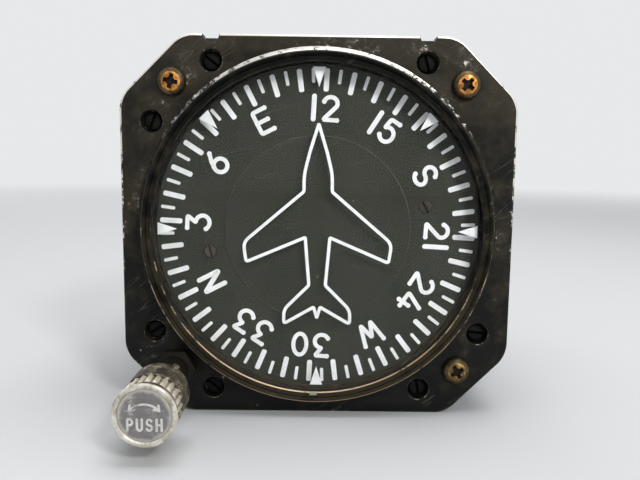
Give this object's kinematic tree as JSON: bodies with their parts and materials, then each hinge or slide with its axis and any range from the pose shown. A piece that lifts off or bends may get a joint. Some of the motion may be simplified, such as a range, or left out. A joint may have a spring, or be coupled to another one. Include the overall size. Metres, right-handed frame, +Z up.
{
  "type": "aircraft directional gyro",
  "caption": "Air-driven directional gyro with an octagonal panel flange, a glazed rotating compass dial, a push-and-turn setting knob at its lower left and a round case with rear ports.",
  "frame": {"origin": "under the middle of the instrument, on the surface that it stands on: its flange's bottom edge and its rear cover's rim", "axes": "+Y runs from the knob and dial to the rear ports, +Z is up, +X is to the viewer's right"},
  "size_m": [0.0856, 0.143, 0.0831],
  "materials": {
    "black_paint": "satin black enamel, chipped to bare metal on its edges",
    "dial_paint": "matte dark olive-grey",
    "cast_aluminium": "as cast",
    "steel": "satin",
    "brass": "machined",
    "gold_screw": "worn and tarnished",
    "glass": "clear, with light scratches",
    "rubber": "matte",
    "knob_metal": "worn cream and bare metal",
    "knob_disc": "faded grey, worn at its edge",
    "felt": "pressed felt"
  },
  "bodies": {
    "root": {"front_flange": "black_paint", "glass_gasket": "rubber", "cover_glass": "glass", "glass_retaining_ring": "black_paint", "flange_gasket": "rubber", "front_housing": "black_paint", "bridge_plate": "cast_aluminium", "dial_bearing": "brass", "idler_stud": "steel", "knob_bushing": "brass", "knob_spring": "steel", "case_tube": "black_paint", "rear_gasket": "rubber", "rear_cover": "black_paint", "air_filter_element": "felt", "filter_cap": "black_paint", "filter_screw": "steel", "vacuum_port": "cast_aluminium", "port_plug": "cast_aluminium", "gimbal_support_frame": "cast_aluminium", "outer_gimbal_bearing_1": "steel", "outer_gimbal_bearing_2": "steel", "flange_screw_1": "steel", "flange_screw_2": "steel", "flange_screw_3": "steel", "flange_screw_4": "steel", "flange_screw_5": "steel", "flange_screw_6": "steel", "flange_screw_7": "steel", "mounting_screw_1": "gold_screw", "mounting_screw_2": "gold_screw", "mounting_screw_3": "gold_screw"},
    "dial": {"dial_card": "dial_paint", "dial_hub_disc": "dial_paint", "dial_screw_1": "black_paint", "dial_screw_2": "black_paint", "dial_hub": "cast_aluminium", "dial_setting_gear": "brass", "dial_shaft": "steel", "dial_bevel_gear": "brass", "dial_shaft_clip": "steel"},
    "idler": {"idler_gear": "brass"},
    "outer_gimbal": {"outer_gimbal": "cast_aluminium", "gimbal_bevel_gear": "brass", "inner_gimbal_bearing_1": "steel", "inner_gimbal_bearing_2": "steel", "air_nozzle": "brass"},
    "inner_gimbal": {"inner_gimbal": "cast_aluminium", "rotor_bearing_1": "steel", "rotor_bearing_2": "steel"},
    "rotor": {"rotor": "brass", "rotor_shaft": "steel"},
    "knob_slider": {"caging_arm": "steel"},
    "knob": {"knob_body": "knob_metal", "knob_face_disc": "knob_disc", "knob_set_screw": "steel", "knob_shaft": "steel", "knob_pinion": "brass", "shaft_clip": "steel"}
  },
  "joints": [
    {"name": "outer_gimbal_turn", "type": "hinge", "parent": "root", "child": "outer_gimbal", "pos_m": [0, 0.00505, 0.04155], "axis": [0, 0, 1], "continuous": true},
    {"name": "dial_turn", "type": "hinge", "parent": "root", "child": "dial", "pos_m": [0, -0.03255, 0.04155], "axis": [0, 1, 0], "continuous": true},
    {"name": "idler_turn", "type": "hinge", "parent": "root", "child": "idler", "pos_m": [-0.022, -0.03255, 0.01955], "axis": [0, 1, 0], "continuous": true},
    {"name": "inner_gimbal_tilt", "type": "hinge", "parent": "outer_gimbal", "child": "inner_gimbal", "pos_m": [0, 0.00505, 0.04155], "axis": [1, 0, 0], "range_deg": [-55, 55]},
    {"name": "rotor_spin", "type": "hinge", "parent": "inner_gimbal", "child": "rotor", "pos_m": [0, 0.00505, 0.04155], "axis": [0, 1, 0], "continuous": true},
    {"name": "knob_push", "type": "slide", "parent": "root", "child": "knob_slider", "axis": [0, 1, 0], "range_m": [0, 0.004], "stiffness_N_per_m": 500, "springref_m": -0.002, "deforming": ["knob_spring"]},
    {"name": "knob_turn", "type": "hinge", "parent": "knob_slider", "child": "knob", "pos_m": [-0.03143, -0.06255, 0.01012], "axis": [0, 1, 0], "continuous": true}
  ],
  "couplings": [
    {"joint": "dial_turn", "follows": "outer_gimbal_turn", "ratio": -1},
    {"joint": "idler_turn", "follows": "outer_gimbal_turn", "ratio": 2.1818}
  ]
}
